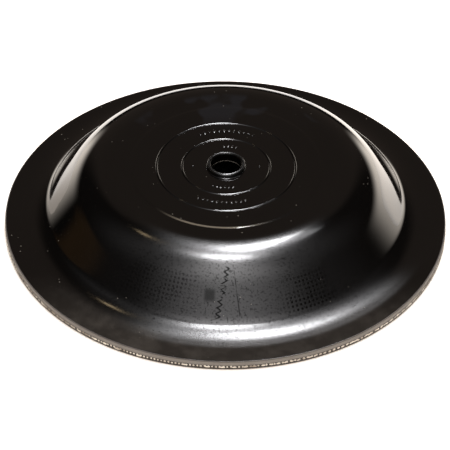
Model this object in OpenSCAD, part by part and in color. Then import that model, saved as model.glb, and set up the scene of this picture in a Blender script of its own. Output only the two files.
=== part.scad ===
// Dished pump diaphragm: one moulding of fabric-reinforced black rubber, cut out of its sheet.
// Flange underside lies in z = 0, the crown plate faces up. The z axis is the axis of the cut rim,
// and the dish stands behind it, towards +Y, so that the flange is wider in front.

/* [Flange] */
// outer diameter of the cut rim
rim_d = 300; // [290:1:330]
// thickness of the clamped flange
flange_t = 6.5; // [5:0.5:9]
// mean width of the flat band between the run-out and the rim
flange_w = 11; // [9.5:0.1:14]
// distance from the axis of the cut rim to the axis of the dish
trim_off = 7; // [0:0.5:8]

/* [Dish] */
// height of the crown pad above the flange underside
crown_h = 44.5; // [39:0.1:51]
// radius of the convex shoulder, outside
shoulder_r = 36; // [30:0.5:42]
// steepest slope of the wall, degrees from level
wall_slope = 52; // [48:0.5:58]
// radius of the tight part of the foot
foot_r = 9.5; // [7:0.5:13]
// radius of the shallow run-out from the foot to the flange
runout_r = 38.5; // [30:0.5:45]
// slope where the foot passes into the run-out
runout_slope = 22.5; // [18:0.5:27]
// thickness of plate and wall
wall_t = 3.5; // [2.5:0.25:4.5]
// radius at the mouth of the hollow underneath
mouth_r = 6; // [3:0.5:10]

/* [Centre hole] */
// diameter of the through bore
bore_d = 20.5; // [16:0.5:24]
// width of the raised collar round the bore
collar_w = 2.9; // [2.4:0.1:5]
// height of the collar above the pad
collar_h = 3.2; // [2.5:0.1:5]

/* [Rings and pad] */
// diameter of the inner raised ring
ring1_d = 59.6; // [46:0.2:70]
// diameter of the outer raised ring
ring2_d = 94.2; // [80:0.2:104]
// height of both rings above the pad
ring_h = 0.5; // [0.3:0.1:0.7]
// radius of the rounded ring section
ring_r = 0.9; // [0.7:0.1:1.5]
// diameter of the pad that the rings stand on
pad_d = 130; // [112:0.5:136]
// step from the pad down to the rest of the plate
pad_h = 0.3; // [0.1:0.05:0.5]

/* [Hidden] */
$fn = 96;

rim_r = rim_d/2;
// the sheet before it is cut reaches past the rim all round
sheet_r = rim_r+trim_off+6;
bore_r = bore_d/2;
flat_r = rim_r-flange_w;
sn = sin(wall_slope);
cs = cos(wall_slope);
rn = sin(runout_slope);
rc = cos(runout_slope);

// run-out arc ends level at the flange, the foot arc goes on from it up to the wall
join_r = flat_r-runout_r*rn;
join_z = flange_t+runout_r*(1-rc);
foot_x = join_r+foot_r*rn;
foot_z = join_z+foot_r*rc;
low_r = foot_x-foot_r*sn;
low_z = foot_z-foot_r*cs;
// level of the plate round the pad; shoulder arc: centre height and tangent height on the wall
plate_z = crown_h-pad_h;
sh_z = plate_z-shoulder_r;
top_z = sh_z+shoulder_r*cs;
// straight wall between the two arcs sets where the plate ends
top_r = low_r-(top_z-low_z)*cs/sn;
plate_r = top_r-shoulder_r*sn;
// inside shoulder, and the inside wall carried on down to z = 0
in_r = shoulder_r-wall_t;
in_top_r = plate_r+in_r*sn;
in_top_z = sh_z+in_r*cs;
mouth_x = in_top_r+in_top_z*cs/sn;
mouth_s = mouth_r*tan(wall_slope/2);

// part of a shoulder disc that stands proud of its chord
module shoulder(radius) {
  kx = plate_r+radius*tan(wall_slope/2);
  intersection() {
    translate([plate_r, sh_z]) circle(r = radius);
    polygon([[plate_r, sh_z+radius], [kx, sh_z+radius],
             [plate_r+radius*sn, sh_z+radius*cs]]);
  }
}

// outside of the moulding: flange, run-out, foot, wall, shoulder and plate
module outside() {
  square([sheet_r, flange_t]);
  difference() {
    polygon([[0, 0], [flat_r, 0], [flat_r, flange_t], [join_r, join_z], [low_r, low_z],
             [top_r, top_z], [plate_r, plate_z], [0, plate_z]]);
    intersection() {
      translate([flat_r, flange_t+runout_r]) circle(r = runout_r);
      polygon([[flat_r, 0], [flat_r, flange_t+runout_r], [join_r, join_z], [join_r, 0]]);
    }
    intersection() {
      translate([foot_x, foot_z]) circle(r = foot_r);
      polygon([[join_r, 0], [join_r, join_z], [foot_x, foot_z], [low_r, low_z], [low_r, 0]]);
    }
  }
  shoulder(shoulder_r);
}

// the hollow underneath, an even wall away from the outside
module hollow() {
  polygon([[0, -1], [mouth_x, -1], [mouth_x, 0], [in_top_r, in_top_z],
           [plate_r, plate_z-wall_t], [0, plate_z-wall_t]]);
  shoulder(in_r);
  difference() {
    polygon([[mouth_x, -1], [mouth_x+mouth_s, -1], [mouth_x+mouth_s, 0],
             [mouth_x-mouth_s*cs, mouth_s*sn]]);
    translate([mouth_x+mouth_s, mouth_r]) circle(r = mouth_r);
  }
}

// rounded ring standing out of the pad
module bead(at_r) {
  translate([at_r, crown_h+ring_h-ring_r]) circle(r = ring_r);
}

// collar with a full round top
module collar() {
  half = collar_w/2;
  translate([bore_r, plate_z-wall_t]) square([collar_w, pad_h+wall_t+collar_h-half]);
  translate([bore_r+half, crown_h+collar_h-half]) circle(r = half);
}

// half section of the moulding in its sheet
module section() {
  difference() {
    union() {
      difference() {
        outside();
        hollow();
      }
      translate([0, plate_z-wall_t/2]) square([pad_d/2, pad_h+wall_t/2]);
      bead(ring1_d/2);
      bead(ring2_d/2);
    }
    translate([0, -1]) square([bore_r, crown_h+10]);
  }
  collar();
}

// the moulding cut round by the rim
module diaphragm() {
  color([0.06, 0.06, 0.06])
  intersection() {
    translate([0, trim_off, 0]) rotate_extrude(angle = 360) section();
    translate([0, 0, -1]) cylinder(r = rim_r, h = crown_h+collar_h+5);
  }
}

diaphragm();
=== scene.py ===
import math

import bpy
import numpy as np
from mathutils import Matrix, Vector


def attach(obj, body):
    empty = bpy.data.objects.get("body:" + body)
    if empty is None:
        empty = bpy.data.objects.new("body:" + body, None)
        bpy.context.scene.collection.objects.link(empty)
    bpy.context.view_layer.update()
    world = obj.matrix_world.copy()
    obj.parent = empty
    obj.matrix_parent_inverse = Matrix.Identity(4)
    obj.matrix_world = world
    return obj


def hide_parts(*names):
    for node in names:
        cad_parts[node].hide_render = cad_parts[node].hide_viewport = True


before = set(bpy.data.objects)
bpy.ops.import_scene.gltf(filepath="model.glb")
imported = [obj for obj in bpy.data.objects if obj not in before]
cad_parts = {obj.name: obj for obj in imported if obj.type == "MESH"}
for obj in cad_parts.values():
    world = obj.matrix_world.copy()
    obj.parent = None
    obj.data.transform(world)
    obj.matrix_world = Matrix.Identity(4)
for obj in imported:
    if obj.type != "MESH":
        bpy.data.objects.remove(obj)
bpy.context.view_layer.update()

rng = np.random.default_rng(7)
deg = math.pi / 180
quarter = math.pi / 2


def meshFrom(name, points, faces):
    mesh = bpy.data.meshes.new(name)
    mesh.from_pydata(np.asarray(points).tolist(), [], np.asarray(faces).tolist())
    mesh.polygons.foreach_set("use_smooth", np.full(len(mesh.polygons), True))
    mesh.update()
    obj = bpy.data.objects.new(name, mesh)
    bpy.context.scene.collection.objects.link(obj)
    return obj


def mountPiece(obj, material, replaced=None):
    # every piece belongs to the one body and its one material slot
    obj.data.materials.append(material)
    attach(obj, "root")
    if replaced:
        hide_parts(replaced)


def gridFaces(rows, cols, closeRows=False, closeCols=False):
    # quads of a grid of points, rows the slow index, facing (next column) x (next row)
    i = np.arange(rows if closeRows else rows - 1)[:, None]
    j = np.arange(cols if closeCols else cols - 1)[None, :]
    here, there = i * cols, (i + 1) % rows * cols
    after = (j + 1) % cols
    return np.stack([here + j, here + after, there + after, there + j], -1).reshape(-1, 4)


class Nodes:
    # short names for the nodes of one tree; an input takes a plain value or another node's socket
    def __init__(self, tree):
        self.tree = tree

    def add(self, kind):
        return self.tree.nodes.new(kind)

    def feed(self, socket, value):
        if isinstance(value, bpy.types.NodeSocket):
            self.tree.links.new(value, socket)
        elif isinstance(value, tuple) and socket.type == "RGBA":
            socket.default_value = (*value, 1)
        else:
            socket.default_value = value

    def coords(self, output):
        return self.add("ShaderNodeTexCoord").outputs[output]

    def split(self, vector):
        node = self.add("ShaderNodeSeparateXYZ")
        self.feed(node.inputs[0], vector)
        return node.outputs

    def calc(self, operation, *values):
        node = self.add("ShaderNodeMath")
        node.operation = operation
        for socket, value in zip(node.inputs, values):
            self.feed(socket, value)
        return node.outputs[0]

    def plus(self, first, *others):
        for other in others:
            first = self.calc("ADD", first, other)
        return first

    def minus(self, first, second):
        return self.calc("SUBTRACT", first, second)

    def times(self, first, *others):
        for other in others:
            first = self.calc("MULTIPLY", first, other)
        return first

    def largest(self, first, *others):
        for other in others:
            first = self.calc("MAXIMUM", first, other)
        return first

    def line(self, value, slope, start):
        return self.calc("MULTIPLY_ADD", value, slope, start)

    def gap(self, first, second):
        return self.calc("ABSOLUTE", self.minus(first, second))

    def length(self, x, y):
        return self.calc("SQRT", self.plus(self.times(x, x), self.times(y, y)))

    def step(self, value, low, high, toLow=0.0, toHigh=1.0):
        # smooth step from toLow at low to toHigh at high, where low may also be the larger one
        node = self.add("ShaderNodeMapRange")
        node.interpolation_type = "SMOOTHSTEP"
        for socket, v in zip(node.inputs, (value, low, high, toLow, toHigh)):
            self.feed(socket, v)
        return node.outputs[0]

    def band(self, value, low, high, soft):
        # 1 between low and high, falling to 0 over soft on both sides
        up = self.step(value, low - soft, low)
        down = self.step(value, high, high + soft, 1.0, 0.0)
        return self.times(up, down)

    def noise(self, vector, scale, detail=2.0, rough=0.5):
        node = self.add("ShaderNodeTexNoise")
        self.feed(node.inputs["Vector"], vector)
        node.inputs["Scale"].default_value = scale
        node.inputs["Detail"].default_value = detail
        node.inputs["Roughness"].default_value = rough
        return node.outputs["Fac"]

    def mix(self, factor, a, b, blend="MIX"):
        node = self.add("ShaderNodeMix")
        node.data_type = "RGBA"
        node.blend_type = blend
        node.clamp_factor = False
        for socket, v in zip((node.inputs[0], node.inputs[6], node.inputs[7]), (factor, a, b)):
            self.feed(socket, v)
        return node.outputs[2]


def newMaterial(name):
    material = bpy.data.materials.new(name)
    material.use_nodes = True
    return material, Nodes(material.node_tree), material.node_tree.nodes["Principled BSDF"].inputs


# Diaphragm skin, in metres; the stops are extra points that keep level stretches level
skin = dict(rimR=0.150, flangeT=0.0065, flangeW=0.011, dishY=0.007, crownH=0.0445, shoulderR=0.036,
            wallSlope=52 * deg, footR=0.0095, runoutR=0.0385, runoutSlope=22.5 * deg, wallT=0.0035,
            mouthR=0.006, boreR=0.01025, collarW=0.0029, collarH=0.0032, filletR=0.0006,
            ring1=0.0298, ring2=0.0471, ringH=0.0005, ringR=0.0009, padR=0.065, padH=0.0003,
            padEase=0.0016, cutEdge=0.0003, cutBand=0.001, turns=512, mapR=0.118,
            padStops=((0.018, 0.024), (0.034, 0.041), (0.052, 0.062)), ringStops=(0.0009, 0.0001),
            plateStops=(0.004, 0.0005), flangeStops=(0.142, 0.147), rimStops=(0.0045, 0.002),
            underStops=(0.05, 0.02), underFlange=0.14)
# softening of the dish's outline: bells in samples, the reach of each in metres
bend = dict(samples=1401, kept=62, wallBell=281, wallStop=0.001, wallFade=0.006,
            footBell=141, footReach=0.0032, footFade=0.002)
s = skin


def arc(cx, cz, radius, start, end, count):
    # r = cx + radius cos a, z = cz + radius sin a, for a from start to end
    a = np.linspace(start, end, count)
    return np.stack([cx + radius * np.cos(a), cz + radius * np.sin(a)], -1)


def level(z, *radii):
    # points of the section at one height
    return [(r, z) for r in radii]


def bead(at):
    # raised ring: the cap of a circle that shows above the pad, with its stops on both sides
    low = math.asin((s["ringR"] - s["ringH"]) / s["ringR"])
    cap = arc(at, s["crownH"] + s["ringH"] - s["ringR"], s["ringR"], math.pi - low, low, 9)
    inner = cap[0, 0] - np.array(s["ringStops"])
    outer = 2 * at - inner[::-1]
    return np.r_[level(s["crownH"], *inner), cap, level(s["crownH"], *outer)]


def soften(values, count):
    # running mean under a bell of count samples, with the ends held
    bell = np.hanning(count)
    return np.convolve(np.pad(values, count // 2, mode="edge"), bell / bell.sum(), "valid")


# where arcs and straight wall meet, worked up from the flange and down from the plate
sn, cs = math.sin(s["wallSlope"]), math.cos(s["wallSlope"])
rn, rc = math.sin(s["runoutSlope"]), math.cos(s["runoutSlope"])
flatR = s["rimR"] - s["flangeW"]
joinR, joinZ = flatR - s["runoutR"] * rn, s["flangeT"] + s["runoutR"] * (1 - rc)
lowR, lowZ = joinR + s["footR"] * (rn - sn), joinZ + s["footR"] * (rc - cs)
plateZ = s["crownH"] - s["padH"]
underZ = plateZ - s["wallT"]
shoulderZ = plateZ - s["shoulderR"]
topZ = shoulderZ + s["shoulderR"] * cs
topR = lowR - (topZ - lowZ) * cs / sn
plateR = topR - s["shoulderR"] * sn
insideR = s["shoulderR"] - s["wallT"]
inTopR, inTopZ = plateR + insideR * sn, shoulderZ + insideR * cs
mouthX = inTopR + inTopZ * cs / sn
mouthS = s["mouthR"] * math.tan(s["wallSlope"] / 2)
collarHalf = s["collarW"] / 2

# outside of the dish: tilt over length in four legs, softened at both ends of the straight wall,
# then r = plateR + integral of cos(tilt) and z = plateZ - integral of sin(tilt)
legs = np.cumsum([0, s["shoulderR"] * s["wallSlope"], math.hypot(topR - lowR, topZ - lowZ),
                  s["footR"] * (s["wallSlope"] - s["runoutSlope"]), s["runoutR"] * s["runoutSlope"]])
wallEnd = legs[2]
run = np.linspace(0, legs[-1], bend["samples"])
tilt = np.interp(run, legs, [0, s["wallSlope"], s["wallSlope"], s["runoutSlope"], 0])
aboveFoot = np.clip((wallEnd - bend["wallStop"] - run) / bend["wallFade"], 0, 1)
tilt = tilt + (soften(tilt, bend["wallBell"]) - tilt) * aboveFoot
atFoot = np.clip((bend["footReach"] - np.abs(run - wallEnd)) / bend["footFade"], 0, 1)
tilt = tilt + (soften(tilt, bend["footBell"]) - tilt) * atFoot
way = np.stack([np.cos(tilt), -np.sin(tilt)], -1)
way = np.r_[[(0, 0)], np.cumsum((way[1:] + way[:-1]) / 2, axis=0) * run[1]] + (plateR, plateZ)
way += np.outer(run / run[-1], (flatR, s["flangeT"]) - way[-1])  # ends on the flange again
crowding = run / run[-1] + np.r_[0, np.cumsum(np.abs(np.diff(tilt)))] / (2 * s["wallSlope"])
pick = np.interp(np.linspace(0, crowding[-1], bend["kept"]), crowding, run)  # closer where it bends
outside = np.stack([np.interp(pick, run, way[:, 0]), np.interp(pick, run, way[:, 1])], -1)
# smooth step down from the pad, z = plateZ + padH (1/2 - 3/4 t + 1/4 t^3) for t from -1 to 1
ease = np.linspace(-1, 1, 9)
padZ = plateZ + s["padH"] * (0.5 - 0.75 * ease + 0.25 * ease ** 3)
padStep = np.stack([s["padR"] + s["padEase"] * ease, padZ], -1)
print("dish outline", len(outside), "points")

# closed section, from the collar out over the top, round the rim and back underneath
edge, fillet = s["cutEdge"], s["filletR"]
section = np.concatenate([
    arc(s["boreR"] + collarHalf, s["crownH"] + s["collarH"] - collarHalf, collarHalf, math.pi, 0, 15),
    arc(s["boreR"] + s["collarW"] + fillet, s["crownH"] + fillet, fillet, math.pi, 3 * quarter, 6),
    level(s["crownH"], *s["padStops"][0]),
    bead(s["ring1"]),
    level(s["crownH"], *s["padStops"][1]),
    bead(s["ring2"]),
    level(s["crownH"], *s["padStops"][2]),
    padStep,
    level(plateZ, *(plateR - back for back in s["plateStops"])),
    outside,
    level(s["flangeT"], *s["flangeStops"]),
    arc(s["rimR"] - edge, s["flangeT"] - edge, edge, quarter, 0, 5),
    [(s["rimR"], z) for z in s["rimStops"]],
    arc(s["rimR"] - edge, edge, edge, 0, -quarter, 5),
    level(0.0, s["underFlange"]),
    arc(mouthX + mouthS, s["mouthR"], s["mouthR"], -quarter, -quarter - s["wallSlope"], 8),
    np.linspace((mouthX - mouthS * cs, mouthS * sn), (inTopR, inTopZ), 7)[1:-1],
    arc(plateR, shoulderZ, insideR, quarter - s["wallSlope"], quarter, 16),
    level(underZ, *s["underStops"]),
    arc(s["boreR"] + edge, underZ + edge, edge, -quarter, -math.pi, 4),
])

# section (r, z) turned through azimuth a about the dish's axis, x = r cos a, y = dishY + r sin a;
# the flat band is widened or narrowed so that it ends on the rim's own circle round the origin
turns, count = s["turns"], len(section)
azimuth = np.linspace(0, 2 * np.pi, turns, endpoint=False)
reach = np.sqrt(s["rimR"] ** 2 - (s["dishY"] * np.cos(azimuth)) ** 2) - s["dishY"] * np.sin(azimuth)
share = np.clip((section[:, 0] - flatR) / (s["rimR"] - s["cutBand"] - flatR), 0, 1)
spread = section[None, :, 0] + share[None] * (reach - s["rimR"])[:, None]
points = np.stack([spread * np.cos(azimuth)[:, None], s["dishY"] + spread * np.sin(azimuth)[:, None],
                   np.broadcast_to(section[None, :, 1], (turns, count))], -1)
diaphragm = meshFrom("diaphragmSkin", points.reshape(-1, 3), gridFaces(turns, count, True, True))

# own map in metres: round the part at the wall's mean radius, and along the section
closed = np.r_[section, section[:1]]
along = np.r_[0, np.cumsum(np.hypot(*np.diff(closed, axis=0).T))]
corner = np.array([[0, 0], [0, 1], [1, 1], [1, 0]])  # row and column steps round each quad
i = np.repeat(np.arange(turns), count)[:, None] + corner[None, :, 0]
j = np.tile(np.arange(count), turns)[:, None] + corner[None, :, 1]
uv = np.stack([i * (2 * np.pi / turns) * s["mapR"], along[j]], -1)
layer = diaphragm.data.uv_layers.new(name="weaveMap")
layer.data.foreach_set("uv", uv.reshape(-1).astype(np.float32))
print("skin", turns * count, "points")

# Rubber, with its places in metres
rubber, n, shader = newMaterial("rubber")
here = n.coords("Object")
px, py, pz = n.split(here)
rimRadius = n.length(px, py)
radius = n.length(px, n.minus(py, s["dishY"]))
weaveMap = n.add("ShaderNodeUVMap")
weaveMap.uv_map = "weaveMap"
roundMap, alongMap, _ = n.split(weaveMap.outputs[0])
across = n.minus(roundMap, 3 * quarter * s["mapR"])  # round from the front, + to the right
patchy = n.noise(here, 70, 3, 0.6)
blotch = n.noise(here, 9, 3, 0.6)
scuff = n.noise(here, 60, 4, 0.7)


def patch(fromU, toU, softU, fromR, toR, softR):
    # part of the dish between two places round it and between two radii
    return n.times(n.band(across, fromU, toU, softU), n.band(radius, fromR, toR, softR))


# weave pressed through the skin: |sin(u) sin(v)| makes dents in a square grid, in two patches of the wall
weave = dict(pitch=0.0060, depth=0.00003, dents=(0.50, 0.80), gaps=(0.36, 0.52), leftShare=0.6,
             right=(0.047, 0.074, 0.010, 0.1085, 0.1205, 0.003),
             left=(-0.070, -0.027, 0.014, 0.1050, 0.1150, 0.004))
wave = 2 * math.pi / weave["pitch"]
dots = n.times(n.calc("SINE", n.times(across, wave)), n.calc("SINE", n.times(alongMap, wave)))
printed = n.largest(patch(*weave["right"]), n.times(patch(*weave["left"]), weave["leftShare"]))
dents = n.step(n.calc("ABSOLUTE", dots), *weave["dents"])
dents = n.times(dents, printed, n.step(patchy, *weave["gaps"]))

# lapped ply under the wall: a zigzag of short strokes, the fine line of the lap beside it and a smudge
lapped = dict(midR=0.110, pitch=0.0040, half=0.0017, zigzagAt=-0.0016, zigzagLean=-0.30,
              stroke=(0.0011, 0.0006), strokeGaps=(0.40, 0.48), strokeR=(0.0985, 0.120, 0.0015),
              lapAt=0.0088, lapLean=0.16, lapLine=(0.0005, 0.00016), lapGaps=(0.40, 0.50),
              lapR=(0.097, 0.122, 0.001), lapShare=0.8,
              smudge=(-0.0128, -0.0082, 0.0028, 0.1096, 0.1124, 0.0022), smudgeShare=0.65)
fromMid = n.minus(radius, lapped["midR"])
zigzag = n.calc("PINGPONG", alongMap, lapped["pitch"] / 2)
zigzag = n.line(zigzag, 4 * lapped["half"] / lapped["pitch"], -lapped["half"])
fromSeam = n.minus(across, n.line(fromMid, lapped["zigzagLean"], lapped["zigzagAt"]))
strokes = n.step(n.gap(fromSeam, zigzag), *lapped["stroke"])
strokes = n.times(strokes, n.step(n.noise(here, 260, 2), *lapped["strokeGaps"]),
                  n.band(radius, *lapped["strokeR"]))
fromLap = n.gap(across, n.line(fromMid, lapped["lapLean"], lapped["lapAt"]))
lap = n.times(n.step(fromLap, *lapped["lapLine"]), n.band(radius, *lapped["lapR"]),
              n.step(patchy, *lapped["lapGaps"]))
seam = n.largest(strokes, n.times(lap, lapped["lapShare"]))
smudge = n.times(patch(*lapped["smudge"]), lapped["smudgeShare"])

# colour: black, rubbed brown on the front of the flange, bluish bloom behind, dust, and painted highlights on
# the front of the pad's edge and on the bore's lower edge
paint = dict(black=(0.0012, 0.0010, 0.0009), brownish=(0.0024, 0.0020, 0.0017),
             worn=(0.030, 0.026, 0.022), wornR=(0.128, 0.140), wornY=(-0.06, -0.125),
             wornScuff=(0.35, 0.75, 0.4, 1.0),
             bloom=(0.0048, 0.0050, 0.0058), bloomR=(0.082, 0.076), bloomY=(0.045, 0.065),
             bloomGaps=(0.50, 0.56),
             dust=(0.30, 0.27, 0.22), dustScale=170, dustSize=(0.085, 0.035), dustGaps=(0.50, 0.62),
             dustShare=0.45,
             padEdgeHighlight=(0.105, 0.088, 0.066), padEdgeR=(0.0644, 0.0652, 0.0006), padEdgeY=(-0.034, -0.052),
             padEdgeX=(-0.022, 0.004, 0.030),
             boreEdgeHighlight=(0.35, 0.31, 0.26), boreEdgeZ=(0.0406, 0.0412, 0.0003), boreEdgeR=(0.0112, 0.0106))
rubbed = n.times(n.step(radius, *paint["wornR"]), n.step(py, *paint["wornY"]),
                 n.step(scuff, *paint["wornScuff"]))
bloom = n.times(n.step(n.noise(here, 32, 2, 0.4), *paint["bloomGaps"]), n.step(py, *paint["bloomY"]),
                n.step(radius, *paint["bloomR"]))
grit = n.add("ShaderNodeTexVoronoi")
n.feed(grit.inputs["Vector"], here)
grit.inputs["Scale"].default_value = paint["dustScale"]
dust = n.times(n.step(grit.outputs["Distance"], *paint["dustSize"]),
               n.step(n.noise(here, 35, 1), *paint["dustGaps"]))
# painted highlight: a pale warm line on the edge of the pad, at the front only
padEdgeHighlight = n.times(n.band(radius, *paint["padEdgeR"]), n.step(py, *paint["padEdgeY"]),
                  n.band(px, *paint["padEdgeX"]))
# painted highlight: a pale band round the lower edge of the bore
boreEdgeHighlight = n.times(n.band(pz, *paint["boreEdgeZ"]), n.step(radius, *paint["boreEdgeR"]))
colour = n.mix(blotch, paint["black"], paint["brownish"])
colour = n.mix(rubbed, colour, paint["worn"])
colour = n.mix(bloom, colour, paint["bloom"])
colour = n.mix(n.times(dust, paint["dustShare"]), colour, paint["dust"])
colour = n.mix(padEdgeHighlight, colour, paint["padEdgeHighlight"])
colour = n.mix(boreEdgeHighlight, colour, paint["boreEdgeHighlight"])

# cut face: tan filled rubber between dark skin above and the dark bed of the ply below
cutFace = dict(fromR=(0.1492, 0.1496), skin=(0.045, 0.033, 0.024), fillZ=(0.0036, 0.0059, 0.0005),
               fillDark=(0.15, 0.128, 0.105), fillPale=(0.235, 0.205, 0.175), rough=0.8)
cut = n.step(rimRadius, *cutFace["fromR"])
fill = n.mix(scuff, cutFace["fillDark"], cutFace["fillPale"])
filled = n.mix(n.band(pz, *cutFace["fillZ"]), cutFace["skin"], fill)
n.feed(shader["Base Color"], n.mix(cut, colour, filled))

# gloss: wall and foot that face -Y are duller, less so on the left, and the collar and the cut face are matt;
# pores, dents, seam and smudge take the gloss away, and the inner half of the collar reflects less, painted
# shade on its highlight at the back
gloss = dict(rough=0.04, blotchRough=0.03, collarR=(0.0134, 0.0130), collarRough=0.20,
             dullY=(-0.035, -0.085), dullR=(0.080, 0.140, 0.006), dullX=(-0.085, -0.030), leftRough=0.06,
             dullRough=0.20, pores=(0.55, 0.66), poreShare=0.7, lipR=(0.0122, 0.0114), lipShare=0.65,
             specular=0.5, specularLoss=0.45, ior=1.68, grain=0.0000015)
dull = n.times(n.step(py, *gloss["dullY"]), n.band(radius, *gloss["dullR"]))
dullRough = n.times(dull, n.step(px, *gloss["dullX"], gloss["leftRough"], gloss["dullRough"]))
collarRough = n.step(radius, *gloss["collarR"], 0.0, gloss["collarRough"])
rough = n.line(blotch, gloss["blotchRough"], gloss["rough"])
n.feed(shader["Roughness"], n.plus(rough, collarRough, dullRough, n.times(cut, cutFace["rough"])))
pores = n.times(dull, n.step(n.noise(here, 760, 2, 0.6), *gloss["pores"]), gloss["poreShare"])
# painted shade: less reflection on the collar's inner half, dimming its highlight at the back
lip = n.step(radius, *gloss["lipR"], 0.0, gloss["lipShare"])
marked = n.largest(dents, seam, smudge, pores, lip)
n.feed(shader["Specular IOR Level"], n.line(marked, -gloss["specularLoss"], gloss["specular"]))
shader["IOR"].default_value = gloss["ior"]
bump = n.add("ShaderNodeBump")
bump.inputs["Distance"].default_value = 1.0
relief = n.plus(n.times(n.plus(dents, seam), -weave["depth"]), n.times(scuff, gloss["grain"]))
n.feed(bump.inputs["Height"], relief)
n.feed(shader["Normal"], bump.outputs[0])
mountPiece(diaphragm, rubber, "diaphragm")
print("rubber done")


def domes(centres, axes, halfA, halfB, lift):
    # each dome: p = c + A u + B v + n h (1 - u^2 - v^2), over the unit disc (u, v),
    # from a top point over three rings, closed by a cone to a point inside the rubber
    rings, spokes, deep = 3, 10, 0.5
    t = np.arange(1, rings + 1)[:, None] / rings
    a = np.linspace(0, 2 * np.pi, spokes, endpoint=False)[None, :]
    u, v = np.r_[0, (t * np.cos(a)).ravel(), 0], np.r_[0, (t * np.sin(a)).ravel(), 0]
    h = 1 - u * u - v * v
    h[-1] = -deep
    side, up, normal = axes
    p = (centres[:, None] + side[:, None] * (halfA[:, None] * u)[..., None]
         + up[:, None] * (halfB[:, None] * v)[..., None] + normal[:, None] * (lift * h)[None, :, None])
    quads = gridFaces(rings, spokes, False, True)[:, ::-1] + 1
    j, k = np.arange(spokes) + 1, np.roll(np.arange(spokes), -1) + 1
    outer, bottom = (rings - 1) * spokes, len(u) - 1
    f = np.r_[np.stack([0 * j, j, k], -1), quads[:, [0, 1, 2]], quads[:, [0, 2, 3]],
              np.stack([0 * j + bottom, k + outer, j + outer], -1)]
    first = np.arange(len(centres))[:, None, None] * len(u)
    return p.reshape(-1, 3), (first + f[None]).reshape(-1, 3)


# Thread ends of the woven ply in the cut rim: two families of parallel threads, cut by the rim's circle
ply = dict(z=0.0022, pitch=0.0024, thick=0.0015, turned=-16 * deg, stand=0.00022, longest=0.0022,
           first=0.0008, proud=0.00003, layer=0.0003, stray=0.00012, strayUp=0.0001, leastFacing=0.05,
           longs=(0.75, 1.1), talls=(0.8, 1.15), dark=(0.34, 0.27, 0.20), pale=(0.86, 0.77, 0.64),
           blotches=90, blotchEdge=(0.35, 0.65), rough=0.75)
ends = []
for family in range(2):
    heading = ply["turned"] + family * quarter
    offsets = np.arange(-s["rimR"] + ply["first"], s["rimR"], ply["pitch"])
    offsets = offsets + rng.normal(0, ply["stray"], len(offsets))
    offsets = offsets[np.abs(offsets) < s["rimR"]]
    swing = np.arcsin(offsets / s["rimR"])
    for a in (heading + swing, heading + math.pi - swing):
        ends.append(np.stack([a, np.abs(np.cos(a - heading)), np.full_like(a, family)], -1))
a, facing, family = np.concatenate(ends).T
halfLong = np.minimum(ply["thick"] / 2 / np.maximum(facing, ply["leastFacing"]), ply["longest"])
halfLong = halfLong * rng.uniform(*ply["longs"], len(a))
halfTall = ply["thick"] / 2 * rng.uniform(*ply["talls"], len(a))
height = ply["z"] + (family - 0.5) * ply["layer"] + rng.normal(0, ply["strayUp"], len(a))
outward = np.stack([np.cos(a), np.sin(a), 0 * a], -1)
sideways = np.stack([-np.sin(a), np.cos(a), 0 * a], -1)
upward = np.tile([0.0, 0.0, 1.0], (len(a), 1))
centres = outward * (s["rimR"] + ply["proud"]) + upward * height[:, None]
p, f = domes(centres, (sideways, upward, outward), halfLong, halfTall, ply["stand"])
threads = meshFrom("threadEnds", p, f)
yarn, n, shader = newMaterial("yarn")
blotch = n.step(n.noise(n.coords("Object"), ply["blotches"], 1), *ply["blotchEdge"])
n.feed(shader["Base Color"], n.mix(blotch, ply["dark"], ply["pale"]))
shader["Roughness"].default_value = ply["rough"]
mountPiece(threads, yarn)
print("threads", len(a))

# Moulded marks: two vent pips and rows of plain raised dashes, each row (radius, from, to, number)
marks = dict(pipAt=0.0225, pipR=0.0009, dash=0.0014, tall=0.0023, lift=0.0006, sunk=0.00005,
             longs=(0.45, 1.0), talls=(0.5, 1.0),
             rows=((0.0385, 62, 118, 12), (0.0385, -118, -70, 11),
                   (0.0215, 72, 94, 4), (0.0225, -112, -78, 6)))
spots = [(marks["pipAt"] * c, s["dishY"], marks["pipR"], marks["pipR"], 0.0) for c in (-1, 1)]
for r, start, end, number in marks["rows"]:
    for d in np.linspace(start, end, number) * deg:
        halfA = marks["dash"] * rng.uniform(*marks["longs"])
        halfB = marks["tall"] * rng.uniform(*marks["talls"])
        spots.append((r * math.cos(d), s["dishY"] + r * math.sin(d), halfA, halfB, d - quarter))
x, y, halfA, halfB, heading = np.array(spots).T
alongRow = np.stack([np.cos(heading), np.sin(heading), 0 * heading], -1)
acrossRow = np.stack([-np.sin(heading), np.cos(heading), 0 * heading], -1)
upward = np.tile([0.0, 0.0, 1.0], (len(spots), 1))
centres = np.stack([x, y, np.full(len(spots), s["crownH"] - marks["sunk"])], -1)
p, f = domes(centres, (alongRow, acrossRow, upward), halfA, halfB, marks["lift"])
castMarks = meshFrom("castMarks", p, f)
mountPiece(castMarks, rubber)
print("marks", len(spots))

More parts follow.
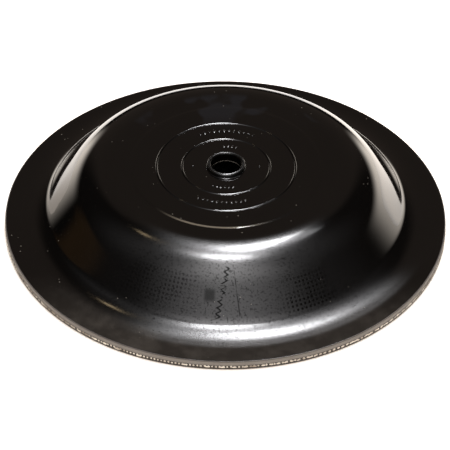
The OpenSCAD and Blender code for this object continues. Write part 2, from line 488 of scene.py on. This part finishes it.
# Floor: a white sheet with a painted shadow (dark base colour, no glow) under the part; it glows (painted
# light), evenly and most close to the part on both sides, with painted shade on its left front
sheet = dict(left=-0.25, right=0.6, front=-0.6, back=0.30, z=-0.0002, coverEdge=(0.144, 0.150),
             white=(0.9, 0.88, 0.85), shade=(0.75, 0.68, 0.60), under=(0.02, 0.02, 0.02), rough=0.9,
             glow=(1.0, 0.84, 0.66), evenGlow=0.32, leftGlow=0.62, rightGlow=1.3, glowFade=(0.70, 0.18),
             leftX=(-0.06, -0.13), leftY=(0.02, 0.15), rightX=(0.06, 0.13), rightY=(-0.03, 0.17),
             shadeX=(-0.155, -0.175), shadeXY=(-0.02, -0.12), shadeLoss=0.6)
outline = [("left", "front"), ("right", "front"), ("right", "back"), ("left", "back")]
floor = meshFrom("floor", [(sheet[x], sheet[y], sheet["z"]) for x, y in outline], [(0, 1, 2, 3)])
floorWhite, n, shader = newMaterial("floorWhite")
fx, fy, _ = n.split(n.coords("Object"))
floorR = n.length(fx, fy)
# painted shadow: the sheet is near black under the part and has no glow there
uncovered = n.step(floorR, *sheet["coverEdge"])
# painted light: glow patches on the sheet beside the part, left and right
atLeft = n.times(n.step(fx, *sheet["leftX"], 0.0, sheet["leftGlow"]), n.step(fy, *sheet["leftY"]))
atRight = n.times(n.step(fx, *sheet["rightX"], 0.0, sheet["rightGlow"]), n.step(fy, *sheet["rightY"]))
# painted shade: the sheet is darker and glows less at its left front
shaded = n.times(n.step(fx, *sheet["shadeX"]), n.step(n.plus(fx, fy), *sheet["shadeXY"]))
shine = n.line(n.plus(atLeft, atRight), n.step(floorR, *sheet["glowFade"]), sheet["evenGlow"])
shine = n.times(shine, n.line(shaded, -sheet["shadeLoss"], 1.0), uncovered)
paper = n.mix(shaded, sheet["white"], sheet["shade"])
n.feed(shader["Base Color"], n.mix(uncovered, sheet["under"], paper))
n.feed(shader["Emission Color"], sheet["glow"])
n.feed(shader["Emission Strength"], shine)
shader["Roughness"].default_value = sheet["rough"]
floor.data.materials.append(floorWhite)
print("floor done")

# Surround: a dark room, soft light low down on both sides, a broad glow from the front to overhead
sky = dict(dark=(0.004, 0.004, 0.004), backdrop=(1.0, 1.0, 1.0),
           side=(1.0, 0.90, 0.79), left=3.3, right=3.3, sideZ=(0.25, 0.0), sideFrom=(0.30, 0.46),
           middle=(-0.2, 0.2), leftFrontY=0.55, rightFrontY=0.20, sideBackY=0.93,
           warm=(0.10, 0.055, 0.022), warmX=(-0.80, -0.95), warmZ=(0.12, 0.26, 0.1),
           back=(0.085, 0.066, 0.054), backY=(0.35, 0.7), backAside=(0.62, 0.36), backZ=(0.08, 0.74, 0.12),
           front=(1.0, 0.975, 0.985), frontGlow=5.3, frontRise=2.2, frontBearing=2 * deg,
           frontReach=(62 * deg, 0.0, 0.05, 1.0), frontY=(0.55, -0.05))
world = bpy.data.worlds.new("studio")
bpy.context.scene.world = world
world.use_nodes = True
n = Nodes(world.node_tree)
dx, dy, dz = n.split(n.coords("Generated"))
aside = n.calc("DIVIDE", n.calc("ABSOLUTE", dx), n.length(dx, dy))
# the side light stops short of straight behind and fades to the front, further forward on the right
fadeY = n.step(dx, *sky["middle"], sky["leftFrontY"], sky["rightFrontY"])
sides = n.times(n.step(dz, *sky["sideZ"]), n.step(aside, *sky["sideFrom"]),
                n.step(dy, fadeY, sky["sideBackY"]),
                n.step(dx, *sky["middle"], sky["left"], sky["right"]))
warmth = n.times(n.step(dx, *sky["warmX"]), n.band(dz, *sky["warmZ"]))
behind = n.times(n.step(dy, *sky["backY"]), n.step(aside, *sky["backAside"]), n.band(dz, *sky["backZ"]))
room = n.mix(behind, sky["dark"], sky["back"])
room = n.mix(sides, room, sky["side"])
room = n.mix(warmth, room, sky["warm"])
rise = n.calc("POWER", n.largest(dz, 0.0), sky["frontRise"])
bearing = n.gap(n.calc("ARCTAN2", dx, n.times(dy, -1.0)), sky["frontBearing"])
ahead = n.times(n.step(bearing, *sky["frontReach"]), n.step(dy, *sky["frontY"]))
ahead = n.times(rise, ahead, sky["frontGlow"])
light = n.mix(1.0, room, n.mix(ahead, (0.0, 0.0, 0.0), sky["front"]), "ADD")
seen = n.add("ShaderNodeLightPath").outputs["Is Camera Ray"]
n.feed(world.node_tree.nodes["Background"].inputs[0], n.mix(seen, light, sky["backdrop"]))
print("surround done")

# Lamps: name, place, size, watts, colour; all look at the origin
lamps = [("overhead", (0.01, 0.03, 1.5), (0.36, 0.23), 14, (0.985, 0.98, 1.0)),
         ("warmLamp", (-0.56, 0.59, 1.5), (0.09, 0.12), 0.16, (1.0, 0.76, 0.45)),
         ("farRight", (0.42, 0.60, 1.5), (0.30, 0.40), 1.2, (0.975, 0.975, 1.0)),
         ("backRight", (0.14, 0.66, 1.5), (0.26, 0.48), 20, (0.975, 0.975, 1.0))]
for name, spot, size, watts, tint in lamps:
    lamp = bpy.data.lights.new(name, "AREA")
    lamp.shape = "RECTANGLE"
    lamp.size, lamp.size_y = size
    lamp.energy = watts
    lamp.color = tint
    obj = bpy.data.objects.new(name, lamp)
    obj.location = spot
    obj.rotation_euler = (-Vector(spot)).to_track_quat("-Z", "Y").to_euler()
    bpy.context.scene.collection.objects.link(obj)

# Camera in front, looking down at the origin; the shifts are pixels of a frame 450 wide
lens = dict(elevation=39.73 * deg, roll=0.7 * deg, distance=3.0, focal=351.6, sensor=36,
            shiftRight=-0.4, shiftUp=-1.5, frameWide=450)
camera = bpy.data.cameras.new("camera")
camera.sensor_width = lens["sensor"]
camera.lens = lens["focal"]
camera.shift_x = lens["shiftRight"] / lens["frameWide"]
camera.shift_y = lens["shiftUp"] / lens["frameWide"]
cameraObj = bpy.data.objects.new("camera", camera)
e = lens["elevation"]
cameraObj.location = (0, -lens["distance"] * math.cos(e), lens["distance"] * math.sin(e))
facingDown = Matrix.Rotation(quarter - e, 3, "X") @ Matrix.Rotation(lens["roll"], 3, "Z")
cameraObj.rotation_euler = facingDown.to_euler()
bpy.context.scene.collection.objects.link(cameraObj)
bpy.context.scene.camera = cameraObj
bpy.context.scene.view_settings.view_transform = "Standard"
print("lamps and camera done")
